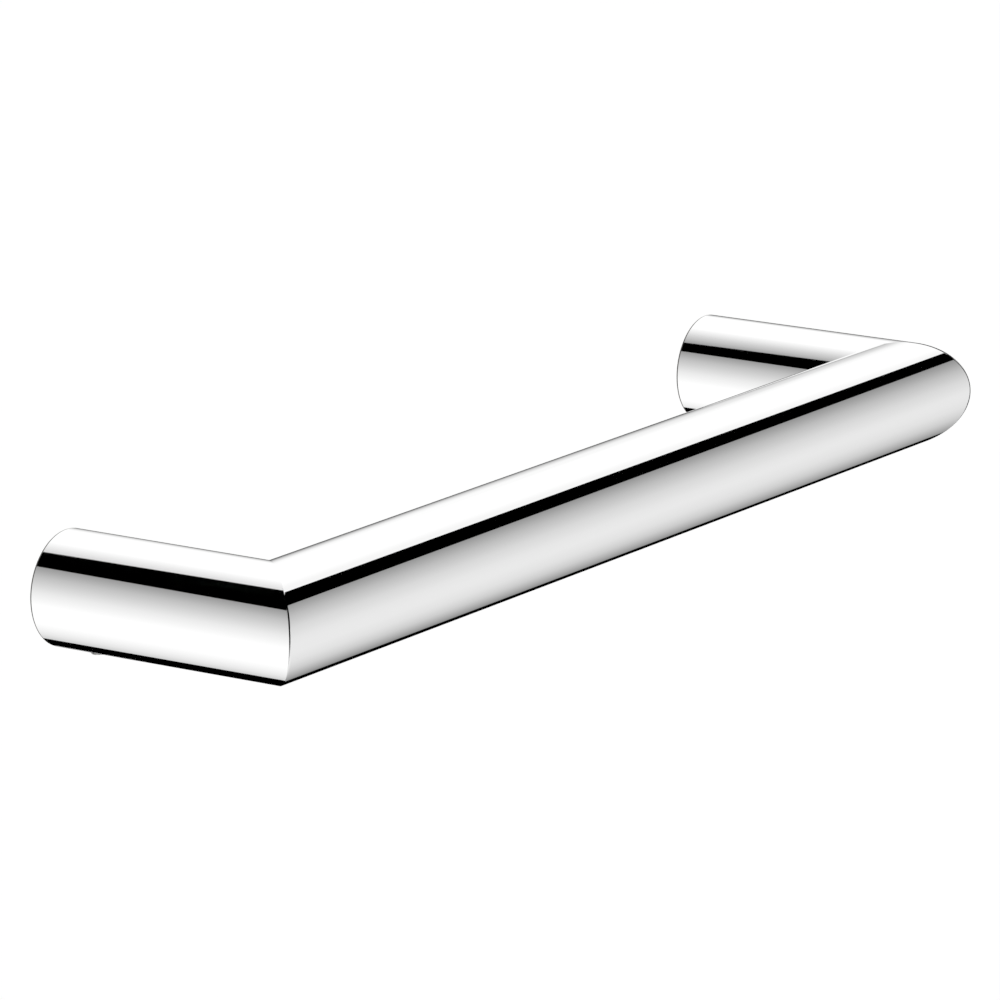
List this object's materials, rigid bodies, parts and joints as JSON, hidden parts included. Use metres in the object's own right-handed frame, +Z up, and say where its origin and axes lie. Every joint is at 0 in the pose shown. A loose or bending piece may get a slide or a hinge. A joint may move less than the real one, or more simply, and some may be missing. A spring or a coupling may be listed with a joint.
{
  "type": "grab bar",
  "caption": "Straight round grab bar with mitred legs in polished chrome, clamped by set screws on posts hidden in the legs.",
  "frame": {"origin": "on the wall plane, midway between the legs and level with the bar's axis", "axes": "+X along the bar, +Y into the wall, +Z up"},
  "size_m": [0.33, 0.079, 0.0307],
  "materials": {
    "chrome_plate": "polished chrome plate",
    "turned_stainless": "turned stainless steel",
    "stainless_screw": "bright stainless steel"
  },
  "bodies": {
    "root": {"bar_body": "chrome_plate", "left_wall_bracket": "turned_stainless", "right_wall_bracket": "turned_stainless", "set_screws": "stainless_screw"}
  },
  "joints": []
}
